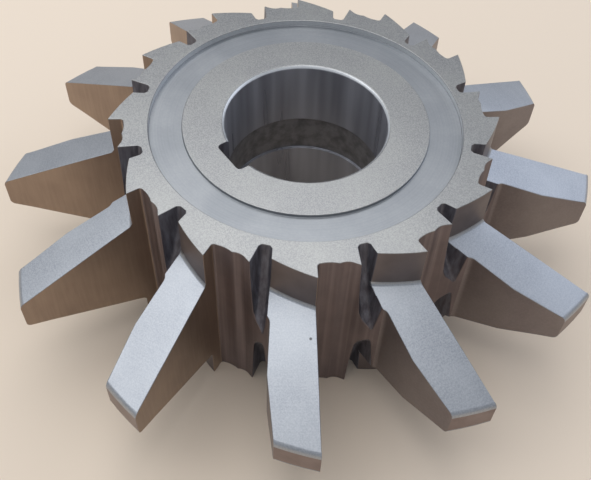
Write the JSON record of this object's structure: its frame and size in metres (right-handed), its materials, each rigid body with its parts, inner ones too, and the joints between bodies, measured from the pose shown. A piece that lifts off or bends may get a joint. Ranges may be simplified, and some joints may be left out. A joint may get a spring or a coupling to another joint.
{
  "type": "rack milling cutter",
  "caption": "Disc-shaped steel milling cutter of rack tooth form, with long tapered relieved teeth round a keyed arbor bore and recessed hub faces.",
  "frame": {"origin": "on the bore's axis, in the lower side face of the hub", "axes": "+Z along the bore axis from the lower to the upper side face, -Y through the middle of the keyway"},
  "size_m": [0.2326, 0.2326, 0.075],
  "materials": {
    "tool_steel": "ground, fine grained"
  },
  "bodies": {
    "root": {"milling_cutter": "tool_steel"}
  },
  "joints": []
}
